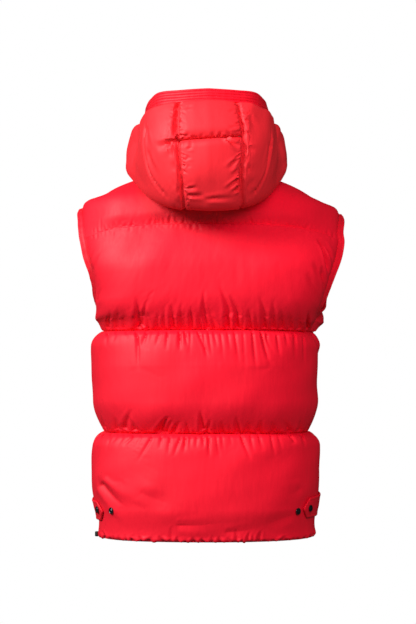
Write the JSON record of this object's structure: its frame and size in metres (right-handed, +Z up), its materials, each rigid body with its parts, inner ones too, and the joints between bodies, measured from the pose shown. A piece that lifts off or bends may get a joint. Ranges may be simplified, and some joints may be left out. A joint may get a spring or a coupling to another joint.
{
  "type": "hooded puffer vest",
  "caption": "Worn sleeveless puffer vest: padded quilted body with open neck, hem and armholes, hood hanging behind a stand collar, front zip and snap tabs at the hem.",
  "frame": {"origin": "between the wearer's shoulders at the base of the neck, where the shoulders carry the vest", "axes": "+Z up along the body, the front with the zip faces -Y, +X is the wearer's left"},
  "size_m": [0.4781, 0.4084, 0.7852],
  "materials": {
    "shell_nylon": "red downproof nylon with a soft sheen",
    "trim_nylon": "the same red nylon, folded and topstitched",
    "zip_tape": "woven red polyester tape",
    "zip_teeth": "moulded black teeth",
    "zip_metal": "satin black",
    "snap_metal": "gloss black",
    "cord_stopper": "dark green-black"
  },
  "bodies": {
    "vest": {"armhole_band_left": "trim_nylon", "armhole_band_right": "trim_nylon", "back_lower": "shell_nylon", "back_middle": "shell_nylon", "back_upper": "shell_nylon", "back_yoke": "shell_nylon", "collar_left": "shell_nylon", "collar_right": "shell_nylon", "front_lower_left": "shell_nylon", "front_lower_right": "shell_nylon", "front_middle_left": "shell_nylon", "front_middle_right": "shell_nylon", "front_upper_left": "shell_nylon", "front_upper_right": "shell_nylon", "front_yoke_left": "shell_nylon", "front_yoke_right": "shell_nylon", "hem_cord_stopper": "cord_stopper", "hood_centre_lower": "shell_nylon", "hood_centre_upper": "shell_nylon", "hood_edge_band": "trim_nylon", "hood_side_left": "shell_nylon", "hood_side_right": "shell_nylon", "side_tab_left": "trim_nylon", "side_tab_right": "trim_nylon", "snap_body_left": "snap_metal", "snap_body_right": "snap_metal", "snap_tab_left": "snap_metal", "snap_tab_right": "snap_metal", "zip_slider": "zip_metal", "zip_tape_left": "zip_tape", "zip_tape_right": "zip_tape", "zip_teeth": "zip_teeth"},
    "pull": {"zip_pull": "zip_metal"}
  },
  "joints": [
    {"name": "pull_swing", "type": "hinge", "parent": "vest", "child": "pull", "pos_m": [0, -0.11243, 0.04446], "axis": [1, 0, 0], "range_deg": [-165, 0]}
  ]
}
